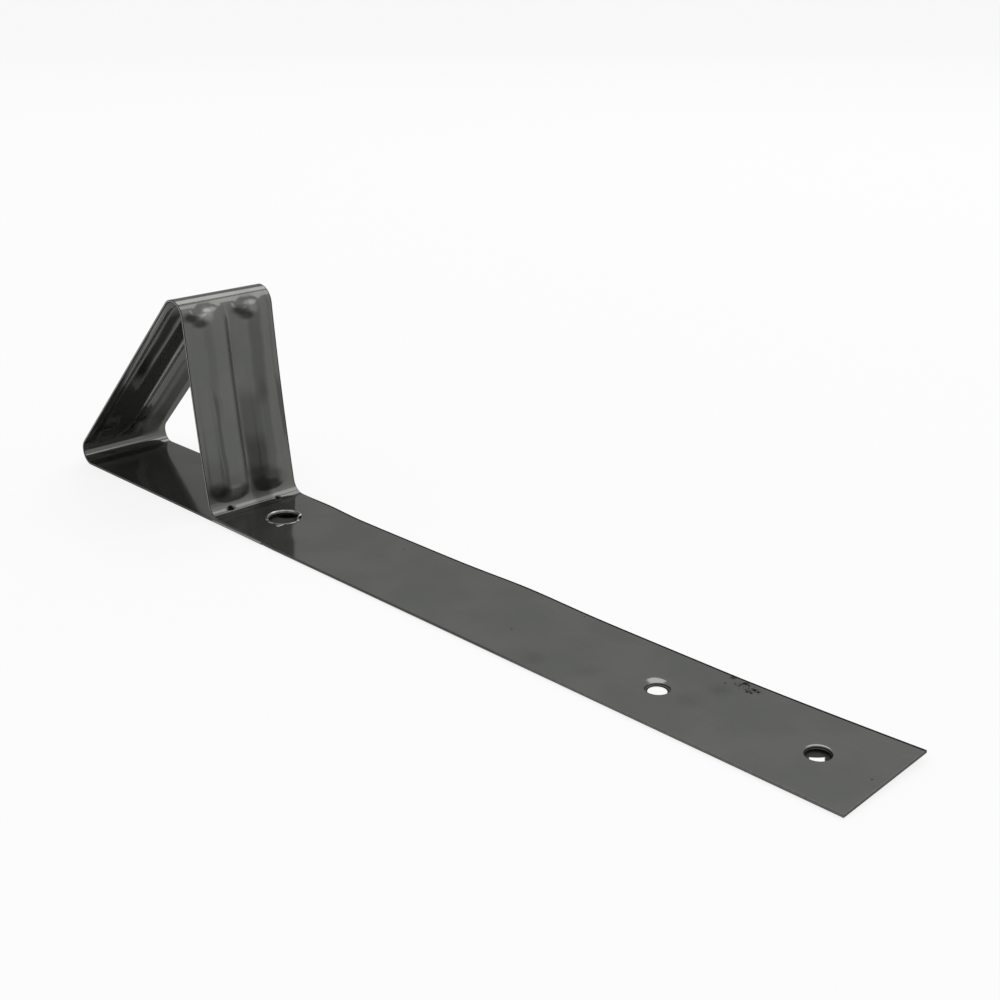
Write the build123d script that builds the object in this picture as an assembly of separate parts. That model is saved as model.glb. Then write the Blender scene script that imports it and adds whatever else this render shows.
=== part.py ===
from build123d import *
from math import radians, tan
import os

os.makedirs("parts", exist_ok=True)

# Strip stock, in millimetres
strip_width = 30.0
sheet = 0.8

# Sharp corners of the folded outline, taken on the outer side of the strip
tail_length = 209.4
base_reach = 79.3
apex_height = 68.5
apex_setback = 7.5

# Bend radii on the same side
foot_radius = 4.0
apex_radius = 5.2
back_radius = 4.3

# Lap of the base under the tail, and the joggle that brings the tail down beyond it
lap_length = 24.5
lap_gap = 0.1
joggle_clearance = 1.2
joggle_run = 8.5
joggle_radius = 12.0

# Pressed ribs, two on each standing face
rib_depth = 1.6
rib_flank_angle = 25.0
rib_edge_margin = 1.6
rib_valley = 0.5
rib_corner_radius = 5.5
rib_crest_radius = 3.0
rib_runout_share = 0.9

# Nail holes at the free end of the tail
nail_hole_diameter = 5.6
nail_hole_end_distance = 15.3
nail_hole_spacing = 40.3
punch_roll = 0.3

# Open collar drawn up from the lap through the tail
collar_position = 15.5
collar_bore = 8.8
collar_wall = 0.4
collar_lip_reach = 0.5
collar_lip_height = 0.4
collar_draw_radius = 0.5
collar_split_width = 0.4
collar_split_angles = (-75.0, -32.0, 12.0)

# Levels of the upper layer where it lies on the lap
lap_underside = sheet + lap_gap
lap_top = lap_underside + sheet

# Sharp corners on the outer side, from the tail end round to the lap end
tail_end = Vector(tail_length, 0, sheet)
joggle_head = Vector(lap_length + joggle_clearance, 0, lap_top)
joggle_foot = Vector(joggle_head.X + joggle_run, 0, sheet)
foot_corner = Vector(0, 0, lap_top)
apex_corner = Vector(-apex_setback, 0, apex_height)
back_corner = Vector(-base_reach, 0, 0)
lap_end = Vector(lap_length, 0, 0)
corners = [tail_end, joggle_foot, joggle_head, foot_corner, apex_corner, back_corner, lap_end]

# Ribs side by side across the strip, rooted half a sheet below each skin
rib_width = (strip_width - 2 * rib_edge_margin - rib_valley) / 2
rib_pitch = rib_width + rib_valley
rib_root = sheet / 2
rib_root_spread = rib_root / tan(radians(rib_flank_angle))
rib_skin_step = tan(radians(rib_flank_angle / 2))


def outward(start, end):
    """Direction that the outer side of a straight leg faces."""
    return Vector(0, 1, 0).cross(end - start).normalized()


def skin_line(depth):
    """Bent line of the strip, a given depth below its outer side."""
    normals = [outward(start, end) for start, end in zip(corners, corners[1:])]
    points = []
    for corner, first, second in zip(corners, normals[:1] + normals, normals + normals[-1:]):
        points.append(corner - (first + second) * (depth / (1 + first.dot(second))))
    radii = [
        joggle_radius + depth, joggle_radius - depth,
        foot_radius + depth, apex_radius - depth, back_radius - depth,
    ]
    return FilletPolyline(*points, radius=radii)


def rib_end(before, corner, after, radius):
    """Distance from a sharp corner at which the ribs end, a little way into the bend."""
    opening = (before - corner).get_angle(after - corner)
    bend_start = radius / tan(radians(opening / 2))
    return bend_start - rib_runout_share * radius * rib_skin_step


def rib(length, skin_depth):
    """One rib on the XY plane: the outer skin at no depth, the inner skin one sheet down."""
    growth = rib_root_spread - skin_depth * rib_skin_step
    with BuildPart() as body:
        with BuildSketch(Plane.XY.offset(-rib_root)):
            RectangleRounded(rib_width + 2 * growth, length + 2 * growth, rib_corner_radius + growth)
        extrude(amount=rib_root + rib_depth, taper=90 - rib_flank_angle)
        fillet(body.faces().sort_by(Axis.Z)[-1].edges(), rib_crest_radius - skin_depth)
    return body.part


# Section of the bent strip between its outer and inner skins
outer = skin_line(0)
inner = skin_line(sheet)
section = make_face([outer, inner, Line(outer @ 0, inner @ 0), Line(outer @ 1, inner @ 1)])

with BuildPart() as guard:
    extrude(section, strip_width / 2, both=True)

    # Ribs pressed outward through the front face and the back face
    foot_end = rib_end(joggle_head, foot_corner, apex_corner, foot_radius)
    apex_end = rib_end(foot_corner, apex_corner, back_corner, apex_radius)
    back_end = rib_end(apex_corner, back_corner, lap_end, back_radius)
    for start, start_margin, end, end_margin in (
        (foot_corner, foot_end, apex_corner, apex_end),
        (apex_corner, apex_end, back_corner, back_end),
    ):
        rib_length = (end - start).length - start_margin - end_margin
        rib_centre = start + (end - start).normalized() * (start_margin + rib_length / 2)
        outer_skin = Plane(rib_centre, x_dir=(0, 1, 0), z_dir=outward(start, end))
        with Locations(outer_skin):
            with GridLocations(rib_pitch, 0, 2, 1):
                add(rib(rib_length, 0))
        with Locations(outer_skin.offset(-sheet)):
            with GridLocations(rib_pitch, 0, 2, 1):
                add(rib(rib_length, sheet), mode=Mode.SUBTRACT)

    # Nail holes, rolled over a little where the punch went in
    first_hole = tail_length - nail_hole_end_distance - nail_hole_spacing
    with Locations((first_hole, 0, sheet), (first_hole + nail_hole_spacing, 0, sheet)):
        Hole(nail_hole_diameter / 2, depth=sheet)
    round_edges = guard.edges().filter_by(GeomType.CIRCLE).filter_by(lambda edge: edge.is_closed)
    fillet(round_edges.group_by(Axis.Z)[-1], punch_roll)

    # Collar drawn up from the pierced lap, its rim rolled out over the hole in the tail
    bore = collar_bore / 2
    shank = bore + collar_wall
    root = shank + collar_draw_radius
    lip = shank + collar_lip_reach
    collar_mouth = Location((collar_position, 0, lap_top))
    collar_foot = Location((collar_position, 0, 0))
    with Locations(collar_mouth):
        Hole(shank, depth=sheet)
    with Locations(collar_foot):
        Hole(root, depth=sheet)
    with BuildSketch(Plane(collar_foot.position, x_dir=(1, 0, 0), z_dir=(0, -1, 0))):
        with BuildLine():
            CenterArc((bore + collar_draw_radius, collar_draw_radius), collar_draw_radius, 180, 90)
            Line((bore, collar_draw_radius), (bore, lap_top))
            ThreePointArc((bore, lap_top), ((bore + lip) / 2, lap_top + collar_lip_height), (lip, lap_top))
            Polyline(
                (lip, lap_top), (shank, lap_top), (shank, sheet), (root, sheet), (root, 0),
                (bore + collar_draw_radius, 0),
            )
        make_face()
    revolve(axis=Axis(collar_foot.position, (0, 0, 1)))

    # Splits where the rolled rim has torn
    for angle in collar_split_angles:
        with Locations(collar_mouth * Rot(0, 0, angle)):
            Box(
                lip + collar_lip_reach, collar_split_width, 2 * collar_lip_height,
                align=(Align.MIN, Align.CENTER, Align.MIN), mode=Mode.SUBTRACT,
            )

export_step(guard.part, "parts/folded_strip.step")
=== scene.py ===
import math

import bpy
import bmesh
import numpy as np
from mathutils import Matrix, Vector


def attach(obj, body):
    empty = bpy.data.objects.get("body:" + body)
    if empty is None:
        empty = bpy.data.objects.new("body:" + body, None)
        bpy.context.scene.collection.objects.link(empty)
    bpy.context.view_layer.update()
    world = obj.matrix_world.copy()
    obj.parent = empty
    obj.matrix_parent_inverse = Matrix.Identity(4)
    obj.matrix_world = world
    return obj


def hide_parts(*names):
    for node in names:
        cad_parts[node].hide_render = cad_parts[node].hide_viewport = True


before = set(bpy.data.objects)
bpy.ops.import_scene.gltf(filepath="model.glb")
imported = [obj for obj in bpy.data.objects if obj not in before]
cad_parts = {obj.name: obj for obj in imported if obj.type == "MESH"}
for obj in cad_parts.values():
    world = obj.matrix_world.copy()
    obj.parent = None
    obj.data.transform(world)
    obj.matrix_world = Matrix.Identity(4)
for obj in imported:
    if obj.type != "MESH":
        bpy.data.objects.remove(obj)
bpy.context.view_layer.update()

scene = bpy.context.scene
mm = 0.001
tiny = 1e-6


def smoothStep(x, low, high):
    t = np.clip((x - low) / (high - low), 0, 1)
    return t * t * (3 - 2 * t)


# The strip's bent outer line, in mm, walked from the tail's free end round the nose to the lap's end
strip = {
    "width": 30.0,
    "sheet": 0.8,
    "tail": 209.4,            # free end to the sharp foot corner
    "rise": (28.0, 1.7),      # where the tail starts to rise onto the lap, and its height at the foot
    "apexHeight": 68.5,
    "apexSetback": 7.5,
    "baseReach": 79.3,
    "lap": 24.5,
    "lapThinning": 0.7,       # pressed off the lap's thickness by its end
    "radii": (120.0, 4.0, 5.2, 4.3),
    "frontBow": 4.2,          # degrees that the front face curves on its way up
    "edgeRound": 0.16,
}
stationNames = ("tail", "bend", "rise", "foot", "front", "apex", "back", "heel", "base", "end")


def bentSegments():
    # each straight or arc as length, heading where it starts, and curvature
    start, height = strip["rise"]
    corners = [(strip["tail"], strip["sheet"]), (start, strip["sheet"]), (0, height),
               (-strip["apexSetback"], strip["apexHeight"]), (-strip["baseReach"], 0), (strip["lap"], 0)]
    legs = [(b[0] - a[0], b[1] - a[1]) for a, b in zip(corners, corners[1:])]
    headings = [math.atan2(z, x) % (2 * math.pi) for x, z in legs]
    headings[-1] += 2 * math.pi
    turns = [b - a for a, b in zip(headings, headings[1:])]
    reach = [0] + [r * math.tan(abs(t) / 2) for r, t in zip(strip["radii"], turns)] + [0]
    bow = math.radians(strip["frontBow"])
    front = 2   # the leg that is the front face
    found = []
    heading = headings[0]
    for i, leg in enumerate(legs):
        straight = math.hypot(*leg) - reach[i] - reach[i + 1]
        curve = -bow / straight if i == front else 0
        found.append((straight, heading, curve))
        heading += curve * straight
        if i < len(turns):
            after = headings[i + 1] + (bow / 2 if i + 1 == front else 0)
            arc = strip["radii"][i] * abs(turns[i])
            found.append((arc, heading, (after - heading) / arc))
            heading = after
    return found


segments = bentSegments()
starts = np.cumsum([0] + [s[0] for s in segments])
stations = dict(zip(stationNames, starts))
total = starts[-1]


def bentPoint(u):
    # place and heading on the outer line, u mm along it or up to 1 mm before its free end
    x = np.full(u.shape, strip["tail"], float)
    z = np.full(u.shape, strip["sheet"], float)
    heading = np.full(u.shape, segments[0][1], float)
    for (length, start, curve), begin in zip(segments, starts):
        s = np.clip(u - begin, -1 if begin == 0 else 0, length)
        if abs(curve) < tiny:
            x += math.cos(start) * s
            z += math.sin(start) * s
        else:
            x += (np.sin(start + curve * s) - math.sin(start)) / curve
            z -= (np.cos(start + curve * s) - math.cos(start)) / curve
        heading = np.where(u >= begin, start + curve * s, heading)
    return x, z, heading


# Ribs pressed out of the two standing faces, sizes in mm
ribs = {
    "depth": 1.6,
    "flank": 25.0,            # degrees
    "margin": 1.6,            # from the strip's edges
    "valley": 0.5,
    "corner": 5.5,
    "crestSoft": 1.0,         # half of the rounding's run at the crest and at the foot of the flank
    "footSoft": 0.8,
    "frontRun": (1.0, 3.0),   # how far the ribs run into the bends below and above the front face
    "backRun": (0.2, 1.4),    # and above and below the back face
}


def ribHeight(u, v):
    wide = (strip["width"] - 2 * ribs["margin"] - ribs["valley"]) / 2
    slope = math.tan(math.radians(ribs["flank"]))
    depth, corner, crest, foot = ribs["depth"], ribs["corner"], ribs["crestSoft"], ribs["footSoft"]
    run = depth / slope
    height = 0
    spans = ((stations["front"] - ribs["frontRun"][0], stations["apex"] + ribs["frontRun"][1]),
             (stations["back"] - ribs["backRun"][0], stations["heel"] + ribs["backRun"][1]))
    for low, high in spans:
        for side in (-1, 1):
            overU = np.abs(u - (low + high) / 2) - (high - low) / 2 + corner
            overV = np.abs(v - side * (wide + ribs["valley"]) / 2) - wide / 2 + corner
            inside = corner - np.hypot(np.maximum(overU, 0), np.maximum(overV, 0))
            inside = inside - np.minimum(np.maximum(overU, overV), 0)
            footed = slope * np.maximum(inside + foot, 0) ** 2 / (4 * foot)
            crested = depth - slope * (run + crest - inside) ** 2 / (4 * crest)
            rise = np.where(inside < foot, footed, slope * inside)
            rise = np.where(inside > run - crest, crested, rise)
            height = height + np.where(inside > run + crest, depth, rise)
    return height


# Nail holes in mm along from the free end and across from the middle, the foot being the hole's radius
# on the underside. Each sits in a shallow dish, whose middle is given from the hole's.
nailHoles = [
    {"u": 15.3, "v": -0.3, "radius": 2.8, "foot": 2.6,
     "dish": (0.15, 0.15), "dishRadius": 3.3, "slope": 0.18},
    {"u": 55.6, "v": -1.8, "radius": 2.8, "foot": 2.2,
     "dish": (1.15, 0.75), "dishRadius": 3.55, "slope": 0.18},
]
dishSoft = 0.3
# Small pits struck in the foot bend, across from the near edge and along from the bend's start, with the
# half sizes across and along, and the reach of the painted shade in each
pits = [
    {"across": 6.3, "along": 3.0, "size": (1.1, 0.5), "depth": 0.4, "shadeReach": 0.95},
    {"across": 22.1, "along": 1.9, "size": (0.65, 0.55), "depth": 0.4, "shadeReach": 0.65},
]
pitShadeSoft = 0.4   # share of the painted shade's reach over which it fades
# How the far edge of the tail lifts off the ground
waves = {
    "humps": [(98, 16, 0.55), (15, 12, 0.3)],   # place, reach and height
    "corner": (160, 49, 1.2, 1.5),              # where it starts, reach, height and power of the curl
    "footFade": (2, 20),                        # nothing lifts before the first, all of it after the second
}


def dishDepth(u, v):
    depth = 0
    for hole in nailHoles:
        du, dv = u - hole["u"], v - hole["v"]
        inside = hole["dishRadius"] - np.hypot(du - hole["dish"][0], dv - hole["dish"][1])
        rounded = np.maximum(inside + dishSoft, 0) ** 2 / (4 * dishSoft)
        depth = depth + hole["slope"] * np.where(inside > dishSoft, inside, rounded)
    return depth


def pitDepth(u, v):
    depth = 0
    for pit in pits:
        du = (u - stations["foot"] - pit["along"]) / pit["size"][1]
        dv = (v + strip["width"] / 2 - pit["across"]) / pit["size"][0]
        depth = depth + pit["depth"] * np.exp(-(du * du + dv * dv) ** 2)
    return depth


def farLift(x, v):
    lift = sum(high * np.exp(-((x - at) / reach) ** 2) for at, reach, high in waves["humps"])
    at, reach, high, power = waves["corner"]
    lift = lift + high * (np.maximum(x - at, 0) / reach) ** power
    return lift * (v / strip["width"] + 0.5) * smoothStep(x, *waves["footFade"])


def skinPoint(u, v, share=0):
    # outer skin with everything pressed into it; the dishes fade with the share of the sheet's depth
    x, z, heading = bentPoint(u)
    out = ribHeight(u, v) - pitDepth(u, v) - dishDepth(u, v) * (1 - share)
    lift = np.where(u < stations["foot"], farLift(x, v), 0)
    return np.stack((x + np.sin(heading) * out, v + 0 * x, z - np.cos(heading) * out + lift), axis=-1)


def sheetPoint(u, v, w, step=0.02):
    # a place w mm deep in the sheet, with the directions along, across and out of it
    share = w / strip["sheet"]
    along = skinPoint(u + step, v, share) - skinPoint(u - step, v, share)
    across = skinPoint(u, v + step, share) - skinPoint(u, v - step, share)
    out = np.cross(across, along)
    along, across, out = (a / np.linalg.norm(a, axis=-1, keepdims=True) for a in (along, across, out))
    thin = strip["lapThinning"] / strip["sheet"] * np.clip((u - total) / strip["lap"] + 1, 0, 1)
    return skinPoint(u, v, share) - out * (w * (1 - thin))[..., None], along, across, out


# The collar: drawn up from the lap through the tail, its rim rolled out and torn, in mm. Its sectors are
# the middle and the half width in degrees from +X.
collar = {
    "at": 14.72,
    "offset": -0.2,
    "bore": 4.5,                        # radius
    "wall": 0.32,
    "drawRadius": 0.5,
    "bend": 0.22,                       # radius of the rim's roll
    "reach": 5.35,                      # radius of the rim
    "ripples": [(3, 0.08, 0.6), (7, 0.05, 0.0)],   # of the rim: number round it, size and phase
    "tears": [(-104, 5), (-68, 3), (-32, 3), (8, 5), (76, 5)],
    "petal": (-52, 17),
    "petalReach": 7.3,
    "lowSide": (-35, 110),
    "lowSoft": 0.5,                     # share of the half width in which it goes down
    "lowDrop": 0.22,
    "lowShort": 0.1,                    # off the rim's reach there
    "lowTip": 0.4,                      # share of the tip's height lost there
    "folded": (42, 34),                 # where the rim is folded in over the bore
    "foldSoft": 0.8,
    "foldReach": 0.75,
    "tipHeight": 0.13,
    "lift": 0.05,                       # of the roll's start above the tail
    "taper": 0.35,                      # share of the wall lost by the tip
    "noseLength": 0.1,
    "innerFoot": 0.12,                  # below the tail: where the bore's wall starts to turn
    "outerFeet": (0.3, 0.5),            # and where the outer wall goes down between the layers
}
drawTurns = (30, 60, 90)                # degrees, from the base up into the bore
rollTurns = range(0, 91, 15)
rimShares = (0.35, 0.7, 1.0)


def around(angles, middle, half):
    # 1 in the middle of a sector, 0 at its ends
    away = np.abs((np.degrees(angles) - middle + 180) % 360 - 180)
    return np.clip(1 - away / half, 0, 1)


def rimReach(angles, bore, low):
    # radius of the rim's tip all round, with the petal and the tears
    reach = collar["reach"] - collar["lowShort"] * low
    for count, size, phase in collar["ripples"]:
        reach = reach + size * np.sin(count * angles + phase)
    reach = reach + (collar["petalReach"] - collar["reach"]) * around(angles, *collar["petal"])
    for tear in collar["tears"]:
        gap = around(angles, *tear)
        torn = bore + collar["wall"] + (reach - bore - collar["wall"]) * (1 - gap) ** 2
        reach = np.where(gap > 0, np.minimum(reach, torn), reach)
    return reach


def collarLoops(angles):
    # places of the collar's skin, row by row from the bore's foot over the rim and back down
    wall, bend = collar["wall"], collar["bend"]
    centre = np.array((collar["at"], collar["offset"]))
    rays = np.stack((np.cos(angles), np.sin(angles)), axis=-1)
    folded = smoothStep(around(angles, *collar["folded"]), 0, collar["foldSoft"])
    bore = collar["bore"] - collar["foldReach"] * folded
    edge = centre + rays * collar["bore"]
    tail = skinPoint(strip["tail"] - edge[:, 0], edge[:, 1])[:, 2]
    low = smoothStep(around(angles, *collar["lowSide"]), 0, collar["lowSoft"])
    level = tail - collar["lowDrop"] * low
    run = np.maximum(rimReach(angles, bore, low) - bore - wall / 2 - bend, 0) * (1 - folded)
    # middle of the wall: radius, height and how far it has turned outward
    middle = []
    for turn in np.radians(rollTurns):
        middle.append((bore + wall / 2 + bend * (1 - math.cos(turn)),
                       level + collar["lift"] + bend * math.sin(turn), turn))
    top = middle[-1]
    tip = tail + collar["tipHeight"] * (1 - collar["lowTip"] * low)
    for share in rimShares:
        middle.append((top[0] + run * share, top[1] + (tip - top[1]) * share, top[2]))
    inner, outer = [], []
    for i, (r, z, turn) in enumerate(middle):
        half = wall / 2 * (1 - collar["taper"] * (i / (len(middle) - 1)) ** 2)
        inner.append((r - math.cos(turn) * half, z + math.sin(turn) * half))
        outer.append((r + math.cos(turn) * half, z - math.sin(turn) * half))
    nose = (middle[-1][0] + collar["noseLength"], middle[-1][1])
    draw = collar["drawRadius"]
    rows = []
    for turn in np.radians(drawTurns):
        rows.append((bore + draw * (1 - math.sin(turn)), draw * (1 - math.cos(turn))))
    rows += [(bore, strip["sheet"]), (bore, level - collar["innerFoot"])] + inner + [nose] + outer[::-1]
    rows += [(bore + wall, level - down) for down in collar["outerFeet"]]
    loops = []
    for r, z in rows:
        r, z = np.broadcast_to(r, angles.shape), np.broadcast_to(z, angles.shape)
        loops.append(np.column_stack((centre + rays * r[:, None], z)))
    return loops


# The flat blank: a grid of one skin with blocks that run from square to round about each hole
blank = {
    "columns": 58,
    "nailBlock": 9.0,         # half the length of a block
    "collarBlock": 8.0,
    "blockRows": 18,
    "rings": (0.0, 0.15, 0.3, 0.45, 0.6, 0.8, 1.0, 1.25, 1.6),   # round rings beyond a hole's edge
    "shares": (0.15, 0.3, 0.5, 0.75),                            # then towards the square block
    "edgeStep": 0.14,
    "spacing": 2.0,           # of the rows where the strip is flat
    "lapSpacing": 0.8,
    "ribEnds": 6.0,           # length near a rib's ends where the rows are close
}
# the rows round the nose: station, which way from it the rib's end lies, and their spacing up to there
noseRows = (("foot", 0, 1.0), ("front", 0, 0.3), ("front", 1, 0.35), ("apex", -1, 0.9), ("back", 0, 0.35),
            ("back", 1, 0.35), ("heel", -1, 0.9), ("base", 0, 0.4))
# how the cut edges and the holes' walls are laid
walls = {
    "edgeTurns": (30, 60, 90),     # degrees, round a cut edge's corner
    "roll": 0.3,                   # of a nail hole's mouth
    "mouthTurns": (25, 50, 70),
    "footRim": (0.03, 0.04),       # short of the underside: out from the wall and up
    "seatGaps": (0.12, 0.06),      # between the collar and the tail's hole, on the outer and inner skin
    "seatDepth": 0.1,
}


def holePlan():
    # middle, ring radius on the outer and inner skin, and half the block's length
    shank = collar["bore"] + collar["wall"]
    seat = [shank + gap for gap in walls["seatGaps"]]
    plan = [{"u": h["u"], "v": h["v"], "rings": (h["radius"] + walls["roll"], h["foot"]),
             "half": blank["nailBlock"]} for h in nailHoles]
    plan.append({"u": strip["tail"] - collar["at"], "v": collar["offset"],
                 "rings": seat, "half": blank["collarBlock"]})
    plan.append({"u": total - strip["lap"] + collar["at"], "v": collar["offset"],
                 "rings": (collar["bore"] + collar["drawRadius"], shank), "half": blank["collarBlock"]})
    return plan


holes = holePlan()
seatHole, lapHole = holes[-2:]   # the collar's two, through the tail and through the lap


def blankLayout(side):
    # points, faces, hole rings and outline loop of one skin: side 0 is the outer one, 1 the inner
    inset, step = strip["edgeRound"], blank["edgeStep"]
    half = strip["width"] / 2 - inset
    columns = [-half, *np.linspace(step - half, half - step, blank["columns"] - 2), half]
    points, faces, rings = [], [], []
    sides = ([], [])

    def addRow(u):
        points.extend((u, v) for v in columns)
        return list(range(len(points) - len(columns), len(points)))

    def addRows(row, until, spacing):
        begin = points[row[0]][0]
        for u in np.linspace(begin, until, max(1, round((until - begin) / spacing)) + 1)[1:]:
            above = addRow(u)
            faces.extend((row[i], row[i + 1], above[i + 1], above[i]) for i in range(len(row) - 1))
            sides[0].append(above[0])
            sides[1].append(above[-1])
            row = above
        return row

    def addBlock(row, hole):
        begin, end = hole["u"] - hole["half"], hole["u"] + hole["half"]
        margins = ([], [])
        for u in np.linspace(begin, end, blank["blockRows"] + 1)[1:-1]:
            for margin, v in zip(margins, (columns[0], columns[-1])):
                margin.append(len(points))
                points.append((u, v))
        last = addRow(end)
        loop = row + margins[1] + last[::-1] + margins[0][::-1]
        previous = loop
        radius = hole["rings"][side]
        widest = radius + blank["rings"][-1]
        steps = [(widest, share) for share in blank["shares"][::-1]]
        steps += [(radius + ring, 0) for ring in blank["rings"][::-1]]
        for inner, share in steps:
            current = []
            for index in loop:
                du, dv = points[index][0] - hole["u"], points[index][1] - hole["v"]
                reach = math.hypot(du, dv)
                size = (inner + (reach - inner) * share) / reach
                current.append(len(points))
                points.append((hole["u"] + du * size, hole["v"] + dv * size))
            for i in range(len(loop)):
                j = (i + 1) % len(loop)
                faces.append((previous[i], previous[j], current[j], current[i]))
            previous = current
        rings.append(previous)
        for known, margin, corner in zip(sides, margins, (last[0], last[-1])):
            known.extend(margin + [corner])
        return last

    first = addRow(inset)
    row = addRows(first, inset + step, step)
    for hole in holes[:-1]:
        row = addRows(row, hole["u"] - hole["half"], blank["spacing"])
        row = addBlock(row, hole)
    for name, way, spacing in noseRows:
        row = addRows(row, stations[name] + way * blank["ribEnds"], spacing)
    row = addRows(row, lapHole["u"] - lapHole["half"], blank["spacing"])
    row = addBlock(row, lapHole)
    row = addRows(row, total - inset - step, blank["lapSpacing"])
    row = addRows(row, total - inset, step)
    outline = sides[1][:-1] + row[::-1] + sides[0][:-1][::-1] + first
    return np.array(points), faces, rings, outline


def outlineDirections(points, outline):
    # direction in the blank's plane out of each point of its outline
    inset = strip["edgeRound"]
    u, v = points[outline, 0], points[outline, 1]
    half = strip["width"] / 2 - inset
    outU = np.where(u < inset + tiny, -1, np.where(u > total - inset - tiny, 1, 0))
    outV = np.where(v < tiny - half, -1, np.where(v > half - tiny, 1, 0))
    return np.column_stack((outU, outV)).astype(float)


# the materials' slots
skinKind, edgeKind, punchKind, lipKind = 0, 1, 2, 3


def buildStrip():
    # the whole bent strip as one closed mesh: two skins, the cut edges, the holes and the collar
    sheet, inset, roll = strip["sheet"], strip["edgeRound"], walls["roll"]
    outerSkin, faces, rings, outline = blankLayout(0)
    innerSkin = blankLayout(1)[0]
    count = len(outerSkin)
    places, normals, depths = [], [], []
    quads = list(faces) + [tuple(i + count for i in face[::-1]) for face in faces]
    kinds = [skinKind] * len(quads)

    def addPoints(place, normal, depth):
        places.append(place)
        normals.append(normal)
        depths.append(np.broadcast_to(depth, len(place)))
        return sum(len(p) for p in places) - len(place)

    for points, w, facing in ((outerSkin, 0, 1), (innerSkin, sheet, -1)):
        place, _, _, out = sheetPoint(points[:, 0], points[:, 1], np.full(count, float(w)))
        addPoints(place, out * facing, w / sheet)

    def wallRow(points, directions, w, tilt):
        # a row of wall points: tilt 0 faces as the outer skin, 90 sideways, 180 as the inner skin
        place, along, across, out = sheetPoint(points[:, 0], points[:, 1], np.full(len(points), float(w)))
        t = math.radians(tilt)
        normal = (along * directions[:, :1] + across * directions[:, 1:]) * math.sin(t) + out * math.cos(t)
        return place, normal / np.linalg.norm(normal, axis=1, keepdims=True), w / sheet

    def addWall(loop, rows, rowKinds):
        # from a loop of the outer skin down through the rows to the same loop of the inner skin
        previous = list(loop)
        for row, kind in zip(rows + [None], rowKinds):
            if row is None:
                current = [i + count for i in loop]
            else:
                begin = addPoints(*row)
                current = list(range(begin, begin + len(loop)))
            for i in range(len(loop)):
                j = (i + 1) % len(loop)
                quads.append((previous[i], previous[j], current[j], current[i]))
                kinds.append(kind)
            previous = current

    directions = outlineDirections(outerSkin, outline)
    rows = []
    turns = walls["edgeTurns"]
    for tilts, centre in ((turns, inset), ([180 - turn for turn in turns[::-1]], sheet - inset)):
        for tilt in tilts:
            t = math.radians(tilt)
            reach = outerSkin[outline] + directions * inset * math.sin(t)
            rows.append(wallRow(reach, directions, centre - inset * math.cos(t), tilt))
    addWall(outline, rows, [edgeKind] * (len(rows) + 1))

    for hole, ring, nailHole in zip(holes, rings, nailHoles + [None, None]):
        middle = np.array((hole["u"], hole["v"]))
        offset = outerSkin[ring] - middle
        rays = offset / np.linalg.norm(offset, axis=1, keepdims=True)
        rows = []
        if nailHole:
            radius, foot = nailHole["radius"], nailHole["foot"]
            for tilt in walls["mouthTurns"]:
                t = math.radians(tilt)
                reach = radius + roll * (1 - math.sin(t))
                rows.append(wallRow(middle + rays * reach, -rays, roll * (1 - math.cos(t)), tilt))
            cone = math.degrees(math.atan2(sheet - roll, radius - foot))
            out, up = walls["footRim"]
            for reach, w in ((radius, roll), (foot + out, sheet - up)):
                rows.append(wallRow(middle + rays * reach, -rays, w, cone))
            addWall(ring, rows, [skinKind] * 2 + [punchKind] * (len(rows) - 1))
        elif hole is seatHole:
            rows.append(wallRow(middle + rays * hole["rings"][1], -rays, walls["seatDepth"], 90))
            addWall(ring, rows, [edgeKind] * (len(rows) + 1))
        else:
            loops = collarLoops(np.arctan2(rays[:, 1], rays[:, 0]))
            ends = [sheetPoint(*skin[ring].T, np.full(len(ring), w))[0] for skin, w in
                    ((outerSkin, 0.0), (innerSkin, sheet))]
            grid = np.array([ends[0]] + loops + [ends[1]])
            roundward = np.roll(grid, -1, axis=1) - np.roll(grid, 1, axis=1)
            normal = np.cross(np.gradient(grid, axis=0), roundward)
            normal /= np.linalg.norm(normal, axis=2, keepdims=True)
            boreRow = len(drawTurns) + 1
            normal *= -np.sign(np.sum(normal[boreRow, :, :2] * rays))
            depth = 1 - grid[:, :, 2] / grid[:, :, 2].max()
            rows = [(grid[i], normal[i], depth[i]) for i in range(1, len(grid) - 1)]
            drawn, feet = len(drawTurns), len(collar["outerFeet"])
            lips = len(rows) + 1 - 2 * drawn - feet
            rowKinds = [skinKind] * drawn + [punchKind] * drawn + [lipKind] * lips + [edgeKind] * feet
            addWall(ring, rows, rowKinds)
    return np.concatenate(places), quads, np.concatenate(normals), np.concatenate(depths), kinds


def newObject(name, places, quads, normals, depths, kinds):
    mesh = bpy.data.meshes.new(name)
    mesh.from_pydata((places * mm).tolist(), [], quads)
    bm = bmesh.new()
    bm.from_mesh(mesh)
    bmesh.ops.recalc_face_normals(bm, faces=bm.faces)
    bm.to_mesh(mesh)
    bm.free()
    mesh.polygons.foreach_set("material_index", kinds)
    mesh.attributes.new("depth", "FLOAT", "POINT").data.foreach_set("value", depths.tolist())
    mesh.shade_smooth()
    mesh.normals_split_custom_set_from_vertices(normals.tolist())
    mesh.update()
    made = bpy.data.objects.new(name, mesh)
    scene.collection.objects.link(made)
    return made


foldedSheet = newObject("foldedSheet", *buildStrip())
print("strip laid out, pressed and bent:", len(foldedSheet.data.polygons), "faces")


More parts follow.
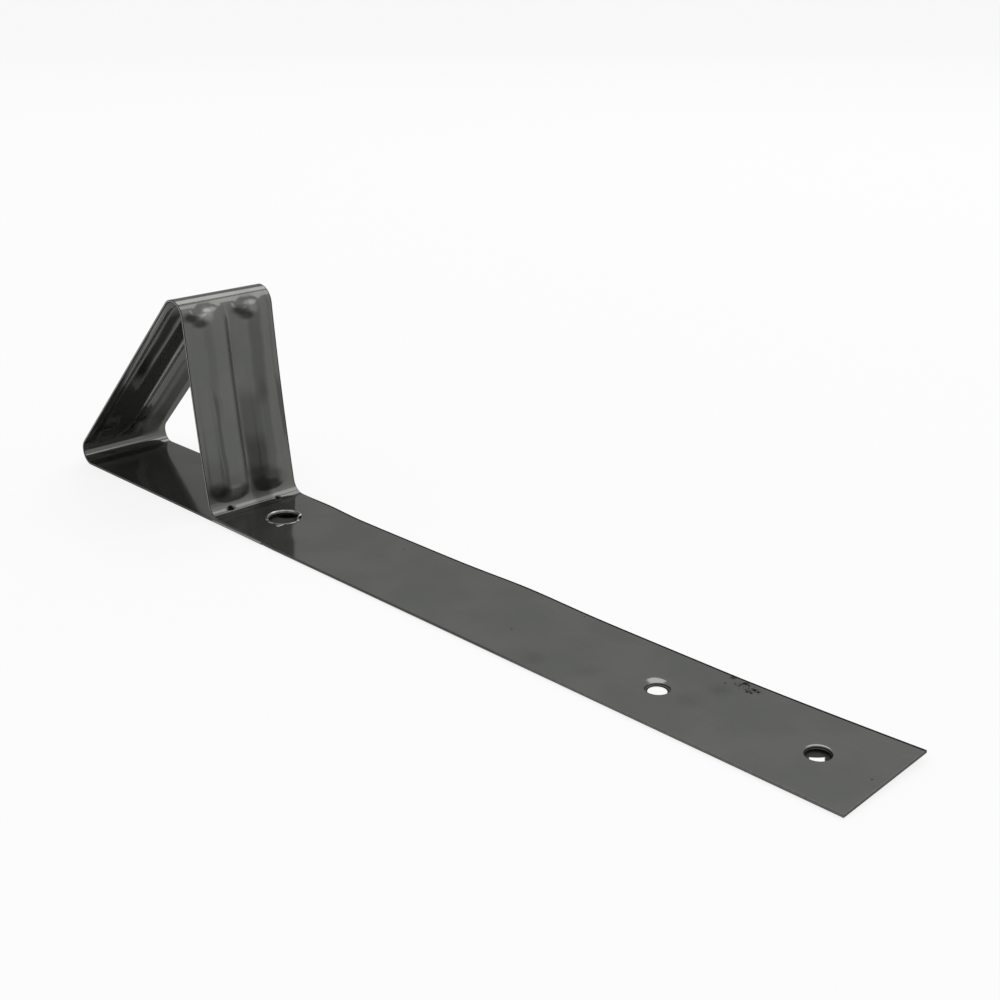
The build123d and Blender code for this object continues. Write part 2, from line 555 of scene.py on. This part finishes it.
class Sock:
    # a node's output, ready for sums and products
    def __init__(self, shader, socket):
        self.shader = shader
        self.socket = socket

    def math(self, operation, *values):
        return self.shader.node("ShaderNodeMath", {"operation": operation}, dict(enumerate(values)))

    def __add__(self, other):
        return self.math("ADD", self, other)

    def __sub__(self, other):
        return self.math("SUBTRACT", self, other)

    def __rsub__(self, other):
        return self.math("SUBTRACT", other, self)

    def __mul__(self, other):
        return self.math("MULTIPLY", self, other)

    def __abs__(self):
        return self.math("ABSOLUTE", self)

    __radd__ = __add__
    __rmul__ = __mul__


# How much of its glancing brightness the metal keeps
glancing = (0.355, 0.355, 0.355, 1)


class Shader:
    def __init__(self, owner):
        owner.use_nodes = True
        self.tree = owner.node_tree
        self.tree.nodes.clear()

    def node(self, kind, settings=None, inputs=None, output=0):
        made = self.tree.nodes.new(kind)
        for name, value in (settings or {}).items():
            setattr(made, name, value)
        for key, value in (inputs or {}).items():
            if isinstance(value, Sock):
                self.tree.links.new(value.socket, made.inputs[key])
            else:
                made.inputs[key].default_value = value
        return Sock(self, made.outputs[output]) if len(made.outputs) else None

    def vector(self, operation, first, second):
        return self.node("ShaderNodeVectorMath", {"operation": operation}, {0: first, 1: second})

    def stretch(self, place, factors):
        return self.vector("MULTIPLY", place, factors)

    def scaled(self, colour, factor):
        return self.node("ShaderNodeVectorMath", {"operation": "SCALE"}, {0: colour, "Scale": factor})

    def place(self):
        # place on the piece in mm
        return self.stretch(self.node("ShaderNodeTexCoord", output="Object"), (1 / mm, 1 / mm, 1 / mm))

    def axes(self, place):
        return [self.node("ShaderNodeSeparateXYZ", None, {0: place}, i) for i in range(3)]

    def depth(self):
        # 0 on the outer skin, 1 on the inner one
        return self.node("ShaderNodeAttribute", {"attribute_name": "depth"}, None, "Fac")

    def noise(self, place, scale, detail=3.0, output=0):
        inputs = {"Vector": place, "Scale": scale, "Detail": detail}
        return self.node("ShaderNodeTexNoise", None, inputs, output)

    def jitter(self, place, scale, size):
        # places pushed about a little, for ragged outlines
        shift = self.vector("SUBTRACT", self.noise(place, scale, output="Color"), (0.5, 0.5, 0.5))
        return self.vector("ADD", place, self.scaled(shift, size * 2))

    def step(self, value, low, high):
        inputs = {0: value, 1: low, 2: high}
        return self.node("ShaderNodeMapRange", {"interpolation_type": "SMOOTHSTEP"}, inputs)

    def within(self, value, low, high, soft):
        return self.step(value, low - soft, low) * (1 - self.step(value, high, high + soft))

    def spot(self, place, centre, radius, soft):
        away = self.node("ShaderNodeVectorMath", {"operation": "DISTANCE"}, {0: place, 1: centre}, "Value")
        return 1 - self.step(away, radius - soft, radius + soft)

    def fade(self, share, first, second):
        # between two numbers
        return first * (1 - share) + share * second

    def mix(self, share, first, second):
        # between two colours
        return self.node("ShaderNodeMix", {"data_type": "RGBA"}, {0: share, 6: first, 7: second}, 2)

    def metal(self, colour, metallic, roughness, height=None, bump=0.0):
        inputs = {"Base Color": colour, "Metallic": metallic, "Roughness": roughness,
                  "Specular Tint": glancing}
        if height:
            inputs["Normal"] = self.node("ShaderNodeBump", None, {"Distance": bump, "Height": height})
        self.finish("Material", self.node("ShaderNodeBsdfPrincipled", None, inputs))

    def finish(self, kind, surface):
        self.node("ShaderNodeOutput" + kind, None, {"Surface": surface})


# The rolled skin: two near greys and a fine grain, places in mm from the sharp foot corner
skin = {
    "greys": ((0.113, 0.117, 0.110, 1), (0.124, 0.125, 0.118, 1)),
    "greyShift": (0.38, 0.62),
    "cloudScale": 0.06,
    "cloudRoughness": 0.06,
    "grain": (0.08, 1.6, 0.3),      # how fine it is along, across and up
    "grainDepth": 0.09,
    "metallic": 0.72,
    "roughness": 0.11,
    "front": (-9.5, 4.0, 1.5),      # the front face, from and to along and soft ends
    "innerDepth": (0.4, 0.6),       # the inner skin by share of the sheet's depth
    "innerEnd": (-2, 3),            # along which its painted shade, highlights and dull runs end, so that they stay inside the nose
    "baseInnerShade": 0.2,                # share of light lost to painted shade on the inner side of the base
    "baseTop": (1, 2),              # heights over which that ends
    "farEdgeShade": (0.75, 0.15, 0.85),  # painted shade along the tail's far edge: width, soft part and share of light lost
    "farEdgeFrom": (6, 12),         # along which it starts
    "faceEdgeShade": (0.42, 0.1, 0.75),  # and the same painted shade up the front face
    "faceEdgeFrom": (2, 4),         # heights over which it starts
}
# Painted reflections (painted shade and painted highlight), painted shade in the foot bend and in the pits,
# and dull runs on the standing faces, by place across from the near edge and by height
paintedShadingAndDull = {
    # painted reflection streaks on the front face, painted shade where the loss is above 0 and painted
    # highlight where it is below: across, half width, share of light lost, from and to height
    "streaks": [
        (6.8, 1.4, 0.13, 33, 54), (6.2, 0.7, 0.33, 9, 33), (13.9, 1.2, 0.20, 8, 50),
        (17.9, 3.4, 0.30, 5, 31), (17.9, 3.3, 0.38, 5, 18), (22.0, 2.4, 0.28, 34, 58),
        (22.4, 1.3, 0.22, 10, 34), (28.2, 0.5, 0.15, 30, 58), (28.9, 0.9, 0.35, 22, 33),
        (3.0, 3.0, 0.2, 8, 14), (14.2, 0.5, -0.3, 8, 56),
    ],
    # and the same painted reflection streaks on the inner side of the back face
    "innerStreaks": [
        (7.9, 2.0, 0.75, 34, 54), (15.9, 0.9, -0.9, 20, 46), (0.7, 0.8, -0.7, 34, 56),
        (25.0, 2.4, -0.5, 10, 32),
    ],
    "wander": 2.4,                          # how far the streaks stray from straight
    "wanderGrain": (0.0, 0.05, 0.09),
    # blotches of painted reflection at the ribs' ends on the front face, painted shade where the loss is
    # above 0 and painted highlight where it is below: across, height, half sizes, share of light lost
    "blotches": [
        (2.5, 58.0, 2.4, 1.4, 0.75), (4.8, 56.3, 2.4, 1.2, 0.65), (18.3, 57.8, 2.5, 1.4, 0.75),
        (20.2, 56.3, 2.7, 1.2, 0.65), (7.4, 58.4, 1.7, 2.0, -0.6), (22.6, 58.2, 1.6, 2.0, -0.7),
        (3.2, 8.0, 3.6, 2.6, 0.7), (18.5, 10.5, 3.8, 2.2, 0.35), (9.0, 7.3, 3.4, 2.0, -0.6),
        (22.8, 8.5, 2.6, 2.2, 0.4),
    ],
    "blotchEdge": (0.85, 0.5),              # place and softness, as shares of the half sizes
    "raggedScale": 0.25,
    "raggedSize": 0.5,
    "frontDull": [(6.5, 59, 0.1), (4.5, 11, 0.14)],   # from and to height, added roughness
    "frontDullSoft": 2.5,
    # dull runs inside the back face: across, half width, added roughness, from and to height
    "innerDull": [(7.9, 1.9, 0.1, 34, 54), (24.6, 3.2, 0.5, 6, 34)],
    "innerBare": [(7.9, 1.9, 0.5, 34, 54)],           # pure metal there, by share
    "bendShade": (1.9, 3.4, 7.8, 0.4),      # in the foot bend: from and to along, from across, light lost
    "bendSoft": (0.4, 0.5),
    "bendTop": (2.5, 3.2),
    # a run's core and rim as shares of its half width, and its soft ends in mm
    "streakSoft": (0.5, 1.3, 6),
    "dullSoft": (0.7, 1.2, 4),
    "bareSoft": (0.8, 1.2, 4),
}
# Dirt and handling marks on the tail, in mm along from the foot corner and across from the middle
handled = {
    # along, across, radius, share of light lost
    "specks": [
        (55.5, 9.7, 0.25, 0.5), (110.8, -4.2, 0.28, 0.6), (118.5, 13.2, 0.25, 0.5),
        (207.0, -1.3, 0.3, 0.5), (162.9, 10.6, 0.3, 0.6), (164.7, 11.8, 0.3, 0.6),
        (162.6, 13.9, 0.7, 0.6), (166.3, 13.5, 0.6, 0.75), (168.7, 10.6, 0.4, 0.75),
        (169.6, 10.8, 0.35, 0.8), (169.4, 12.4, 0.4, 0.8), (170.5, 12.2, 0.45, 0.8),
    ],
    "speckSoft": 0.6,
    "speckJitter": (1.2, 0.45),
    "smudges": [
        (124.8, -11.0, 2.2, 0.14), (137.6, -7.4, 2.4, 0.12), (162.0, -1.1, 2.4, 0.12),
        (164.1, 7.4, 2.0, 0.16),
    ],
    "smudgeScale": 0.9,
    "grime": (167.6, 12.1, 4.2, 2.0, 0.85),   # a speckled patch: along, across, half sizes, light lost
    "grimeEdge": (0.7, 0.4),
    "grimeGrain": (1.3, 2.34, 0),
    "grimeLevels": (0.51, 0.59),
}


def paintShadingAndDull(make, place, front, inner):
    # share of light kept under the painted reflections and shade (above 1 where a highlight is painted),
    # added roughness and share of pure metal
    x, y, z = make.axes(place)
    stray = make.noise(make.stretch(place, paintedShadingAndDull["wanderGrain"]), 1.0, detail=2.0)
    wander = (stray - 0.5) * paintedShadingAndDull["wander"]
    ragged = make.jitter(place, paintedShadingAndDull["raggedScale"], paintedShadingAndDull["raggedSize"])
    light, dull, bare = 1, 0, 0

    def run(across, half, low, high, soft, shift=0):
        # 1 on a run up the face
        core, rim, ends = soft
        away = abs(y + shift + (strip["width"] / 2 - across))
        return (1 - make.step(away, half * core, half * rim)) * make.within(z, low, high, ends)

    # painted reflections: streaks of painted shade, and of painted highlight where the loss is below 0
    for name, where in (("streaks", front), ("innerStreaks", inner)):
        for across, half, loss, low, high in paintedShadingAndDull[name]:
            streak = run(across, half, low, high, paintedShadingAndDull["streakSoft"], wander * min(half, 1.0))
            light = light * (1 - streak * where * loss)
    # painted shade and painted highlight of the reflections at the ribs' ends
    for across, height, wide, tall, loss in paintedShadingAndDull["blotches"]:
        squeezed = make.stretch(ragged, (0, 1 / wide, 1 / tall))
        centre = (0, (across - strip["width"] / 2) / wide, height / tall)
        light = light * (1 - make.spot(squeezed, centre, *paintedShadingAndDull["blotchEdge"]) * front * loss)
    for low, high, more in paintedShadingAndDull["frontDull"]:
        dull = dull + make.within(z, low, high, paintedShadingAndDull["frontDullSoft"]) * front * more
    for across, half, more, low, high in paintedShadingAndDull["innerDull"]:
        dull = dull + run(across, half, low, high, paintedShadingAndDull["dullSoft"]) * inner * more
    for across, half, share, low, high in paintedShadingAndDull["innerBare"]:
        bare = bare + run(across, half, low, high, paintedShadingAndDull["bareSoft"]) * inner * share

    low, high, across, loss = paintedShadingAndDull["bendShade"]
    softAlong, softAcross = paintedShadingAndDull["bendSoft"]
    shade = make.within(x, low, high, softAlong) * make.step(y, across - softAcross, across + softAcross)
    light = light * (1 - shade * (1 - make.step(z, *paintedShadingAndDull["bendTop"])) * loss)
    # painted shade in each pit
    for pit in pits:
        u, v = np.array(stations["foot"] + pit["along"]), np.array(pit["across"] - strip["width"] / 2)
        centre = tuple(float(c) for c in skinPoint(u, v))
        light = light * (1 - make.spot(place, centre, pit["shadeReach"], pit["shadeReach"] * pitShadeSoft))
    return light, dull, bare


def tailMarks(make, place):
    # share of light kept by the smudges, and the share of the skin that dirt covers
    flat = make.stretch(place, (1, 1, 0))
    speckled = make.stretch(make.jitter(place, *handled["speckJitter"]), (1, 1, 0))
    along, across, wide, high, loss = handled["grime"]
    squeezed = make.stretch(place, (1 / wide, 1 / high, 0))
    patch = make.spot(squeezed, (along / wide, across / high, 0), *handled["grimeEdge"])
    grain = make.noise(make.stretch(place, handled["grimeGrain"]), 1.0, detail=4.0)
    dirt = patch * make.step(grain, *handled["grimeLevels"]) * loss
    for along, across, radius, loss in handled["specks"]:
        dirt = dirt + make.spot(speckled, (along, across, 0), radius, radius * handled["speckSoft"]) * loss
    patchy = make.noise(place, handled["smudgeScale"], detail=4.0) * 2   # about 1 on the whole
    light = 1
    for along, across, radius, loss in handled["smudges"]:
        light = light * (1 - make.spot(flat, (along, across, 0), radius, radius) * patchy * loss)
    return light, dirt.math("MINIMUM", dirt, 1.0)


def skinMaterial():
    material = bpy.data.materials.new("stainlessSkin")
    make = Shader(material)
    place = make.place()
    x, y, z = make.axes(place)
    front = make.within(x, *skin["front"])
    inner = make.step(make.depth(), *skin["innerDepth"]) * (1 - make.step(x, *skin["innerEnd"]))
    light, dull, bare = paintShadingAndDull(make, place, front, inner)
    kept, dirt = tailMarks(make, place)
    grain = make.noise(make.stretch(place, skin["grain"]), 1.0, detail=4.0)
    tone = ((grain - 0.5) * skin["grainDepth"] + 1) * light * kept * (1 - dirt)
    # painted shade on the inner side of the base, inside the nose
    tone = tone * (1 - (1 - make.step(z, *skin["baseTop"])) * inner * skin["baseInnerShade"])

    # painted shade: dark lines along the far edges of the tail and the front face
    width, soft, loss = skin["farEdgeShade"]
    far = strip["width"] / 2 - width
    edge = make.step(y, far, far + soft) * make.step(x, *skin["farEdgeFrom"])
    tone = tone * (1 - edge * loss)
    width, soft, loss = skin["faceEdgeShade"]
    far = strip["width"] / 2 - width
    tone = tone * (1 - make.step(y, far, far + soft) * front * make.step(z, *skin["faceEdgeFrom"]) * loss)

    cloud = make.noise(place, skin["cloudScale"])
    colour = make.scaled(make.mix(make.step(cloud, *skin["greyShift"]), *skin["greys"]), tone)
    metallic = (bare + edge + dirt) * (1 - skin["metallic"]) + skin["metallic"]
    make.metal(colour, metallic, (cloud - 0.5) * skin["cloudRoughness"] + skin["roughness"] + dull)
    return material


# The sheared edge: bands like burnish and break by share of the sheet's depth, fading towards the tail's
# end; its dark bands at the top corner and at the foot are painted shade, at the foot a painted contact
# shadow
shear = {
    "outer": 0.085,                       # level at the outer skin
    "bands": [(0.22, 0.045), (0.52, 0.15), (0.82, 0.024)],   # where each next band starts, and its level
    "bandSoft": 0.07,
    "ragged": (0.5, 0.14),                # noise scale and depth of the bands' outlines
    "even": 0.115,                        # level of the plain end, and where it takes over
    "evenFrom": (110, 135),
    "upright": (0.3, 0.62, 0.02, 0.28),   # on the standing faces: the pale band, dark level and pale level
    "uprightSoft": 0.1,
    "uprightFrom": (2.5, 4.0),
    "seam": (1.0, 23.5, 0.35, 0.7),       # a painted highlight on the lap's edge: from and to along, then in height
    "seamSoft": (1.0, 0.1),
    "seamLight": 0.3,
    "seamFoot": 0.35,                     # share of light kept below it, a painted contact shadow
    "seamFootSoft": 0.15,
    "farFrom": (14.0, 14.5),              # painted shade on the far edge, its outer part and the share of light lost there
    "farDepth": (0.2, 0.5),
    "farLoss": 0.5,
    "worn": (1.3, 0.5),                   # noise scale and depth
    "tint": (1.0, 1.0, 0.95),
    "roughness": 0.38,
    "metallic": 0.85,
}


def edgeMaterial():
    material = bpy.data.materials.new("shearedEdge")
    make = Shader(material)
    place = make.place()
    x, y, z = make.axes(place)
    depth = make.depth()
    scale, size = shear["ragged"]
    ragged = depth + (make.noise(place, scale) - 0.5) * size
    level = previous = shear["outer"]
    # dark bands of painted shade at the top corner and at the foot, with a paler band between
    for start, value in shear["bands"]:
        band = make.step(ragged, start - shear["bandSoft"], start + shear["bandSoft"])
        level = level + band * (value - previous)
        previous = value
    level = make.fade(make.step(x, *shear["evenFrom"]), level, shear["even"])
    low, high, dark, pale = shear["upright"]
    upright = make.within(ragged, low, high, shear["uprightSoft"]) * (pale - dark) + dark
    level = make.fade(make.step(z, *shear["uprightFrom"]), level, upright)

    # painted highlight on the lap's edge, with a painted contact shadow below it
    low, high, foot, top = shear["seam"]
    softAlong, softUp = shear["seamSoft"]
    lap = make.within(x, low, high, softAlong) * (1 - make.step(z, top, top + softUp))
    level = make.fade(lap * make.step(z, foot - softUp, foot), level, shear["seamLight"])
    paintedContactShadow = lap * (1 - make.step(z, foot - shear["seamFootSoft"], foot))
    level = level * (1 - paintedContactShadow * (1 - shear["seamFoot"]))
    # painted shade along the far edge
    outer = 1 - make.step(depth, *shear["farDepth"])
    level = level * (1 - make.step(y, *shear["farFrom"]) * outer * shear["farLoss"])
    scale, size = shear["worn"]
    worn = (make.noise(place, scale, detail=2.0) - 0.5) * size + 1
    make.metal(make.scaled(shear["tint"], level * worn), shear["metallic"], shear["roughness"])
    return material


# The punched walls of the holes, darkened as painted shade inside them, with a paler band by share of the
# sheet's depth
punch = {
    # painted shade inside the holes
    "dark": 0.008,
    "pale": 0.09,
    "band": (0.5, 0.68),
    "bandSoft": 0.06,
    "collarReach": (30, 31),      # up to here along the strip it is the collar's wall
    "collarBand": (0.08, 0.42),   # with its own pale band and level
    "collarPale": 0.3,
    "worn": (1.1, 0.6),           # noise scale and depth
    "tint": (1.0, 1.0, 0.96),
    "roughness": 0.45,
    "metallic": 0.6,
}


def punchMaterial():
    material = bpy.data.materials.new("shadedPunchedWall")
    make = Shader(material)
    place = make.place()
    depth = make.depth()
    nailHole = make.step(make.axes(place)[0], *punch["collarReach"])
    nail = make.within(depth, *punch["band"], punch["bandSoft"]) * nailHole * punch["pale"]
    drawn = make.within(depth, *punch["collarBand"], punch["bandSoft"]) * (1 - nailHole)
    scale, size = punch["worn"]
    worn = (make.noise(place, scale) - 0.5) * size + 1
    # the dark level is painted shade inside the holes
    level = punch["dark"] + nail + drawn * punch["collarPale"]
    colour = make.scaled(punch["tint"], level * worn)
    make.metal(colour, punch["metallic"], punch["roughness"])
    return material


# The collar's rim: burnished, and painted paler than the skin as its highlight
rim = {
    "greys": ((0.22, 0.22, 0.21, 1), (0.48, 0.48, 0.46, 1)),
    "wornScale": 0.8,
    "wornShift": (0.35, 0.65),
    "bump": 0.00008,   # metres
    "roughness": 0.3,
    "metallic": 0.85,
}


def rimMaterial():
    material = bpy.data.materials.new("burnishedRimHighlight")
    make = Shader(material)
    worn = make.noise(make.place(), rim["wornScale"])
    colour = make.mix(make.step(worn, *rim["wornShift"]), *rim["greys"])
    make.metal(colour, rim["metallic"], rim["roughness"], worn, rim["bump"])
    return material


for made in (skinMaterial(), edgeMaterial(), punchMaterial(), rimMaterial()):
    foldedSheet.data.materials.append(made)
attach(foldedSheet, "root")
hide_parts("folded_strip")
print("metal finished")


# The ground: pale and plain, white to the eye, in shade where it is seen through the holes
ground = {
    "size": 12.0,                  # half, in metres
    "drop": 0.2,                   # mm below the strip
    "colour": (0.9, 0.9, 0.9, 1),
    "glow": 0.82,
    # along, across, radius in mm
    "shades": [(14.6, 0, 5.5), (188.1, 5.7, 8.0), (197.8, 2.3, 3.2), (191.3, -2.4, 1.8)],
    "shadeSoft": 0.12,
    "shadeColour": (0.055, 0.055, 0.054),
    "deepest": (10.4, 4.1, 3.1),   # nearly black there
    "deepSoft": 0.5,
    "deepLoss": 0.9,
}


def seenRays(make):
    # 1 for rays that come straight from the eye or a mirror
    kinds = ("Is Camera Ray", "Is Glossy Ray", "Is Transmission Ray")
    rays = [make.node("ShaderNodeLightPath", output=kind) for kind in kinds]
    both = rays[0] + rays[1] + rays[2]
    return both.math("MINIMUM", both, 1.0)


def makeGround():
    mesh = bpy.data.meshes.new("ground")
    s = ground["size"]
    mesh.from_pydata([(-s, -s, 0), (s, -s, 0), (s, s, 0), (-s, s, 0)], [], [(0, 1, 2, 3)])
    floor = bpy.data.objects.new("ground", mesh)
    scene.collection.objects.link(floor)
    floor.location = (0, 0, -ground["drop"] * mm)
    material = bpy.data.materials.new("paleGround")
    make = Shader(material)
    place = make.place()
    shade = 0
    for along, across, radius in ground["shades"]:
        shade = shade + make.spot(place, (along, across, 0), radius, ground["shadeSoft"])
    along, across, radius = ground["deepest"]
    deep = make.spot(place, (along, across, 0), radius, ground["deepSoft"])
    darkColour = make.scaled(ground["shadeColour"], 1 - deep * ground["deepLoss"])
    dark = make.node("ShaderNodeBsdfDiffuse", None, {"Color": darkColour})
    matt = make.node("ShaderNodeBsdfDiffuse", None, {"Color": ground["colour"]})
    white = make.node("ShaderNodeEmission", None, {"Strength": 1.0})
    lit = make.node("ShaderNodeMixShader", None, {0: seenRays(make) * ground["glow"], 1: matt, 2: white})
    make.finish("Material", make.node("ShaderNodeMixShader", None, {0: shade, 1: lit, 2: dark}))
    mesh.materials.append(material)


fill = 0.75   # the white world's own light, of the white that is seen


def makeWorld():
    world = bpy.data.worlds.new("studio")
    scene.world = world
    make = Shader(world)
    strength = seenRays(make) * (1 - fill) + fill
    white = make.node("ShaderNodeBackground", None, {"Color": (1, 1, 1, 1), "Strength": strength})
    make.finish("World", white)


# Panels round the set: azimuth and height in degrees, size in metres, brightness against white
lamps = [
    {"name": "softBox", "azimuth": 120, "height": 53, "size": (0.85, 0.63), "bright": 3.2},
    {"name": "widePanel", "azimuth": 64, "height": 50, "size": (0.85, 0.64), "bright": 1.9},
    {"name": "lowPanel", "azimuth": 17, "height": 38, "size": (1.07, 0.38), "bright": 1.7},
]
lampDistance = 2.0


def headingTo(azimuth, height):
    # direction of the given degrees round and above the ground
    level = math.cos(math.radians(height))
    return Vector((math.cos(math.radians(azimuth)) * level, math.sin(math.radians(azimuth)) * level,
                   math.sin(math.radians(height))))


def makeLamps():
    for lamp in lamps:
        data = bpy.data.lights.new(lamp["name"], "AREA")
        data.shape = "RECTANGLE"
        data.size, data.size_y = lamp["size"]
        data.energy = lamp["bright"] * math.pi * data.size * data.size_y
        made = bpy.data.objects.new(lamp["name"], data)
        direction = headingTo(lamp["azimuth"], lamp["height"])
        made.location = direction * lampDistance
        made.rotation_euler = (-direction).to_track_quat("-Z", "Y").to_euler()
        scene.collection.objects.link(made)


# Places in mm, angles in degrees
view = {
    "place": (322.0, -215.5, 148.6),
    "yaw": 135.489,
    "pitch": -20.997,
    "roll": -0.10,
    "lens": 50.03,
    "sensor": 36,
    "clip": (0.01, 40),   # metres
}


def makeCamera():
    data = bpy.data.cameras.new("camera")
    data.lens = view["lens"]
    data.sensor_width = view["sensor"]
    data.sensor_fit = "HORIZONTAL"
    data.clip_start, data.clip_end = view["clip"]
    made = bpy.data.objects.new("camera", data)
    made.rotation_euler = headingTo(view["yaw"], view["pitch"]).to_track_quat("-Z", "Y").to_euler()
    made.rotation_euler.rotate_axis("Z", math.radians(view["roll"]))
    made.location = Vector(view["place"]) * mm
    scene.collection.objects.link(made)
    scene.camera = made


makeGround()
makeWorld()
makeLamps()
makeCamera()
scene.view_settings.view_transform = "Standard"
print("ground, light and camera set")
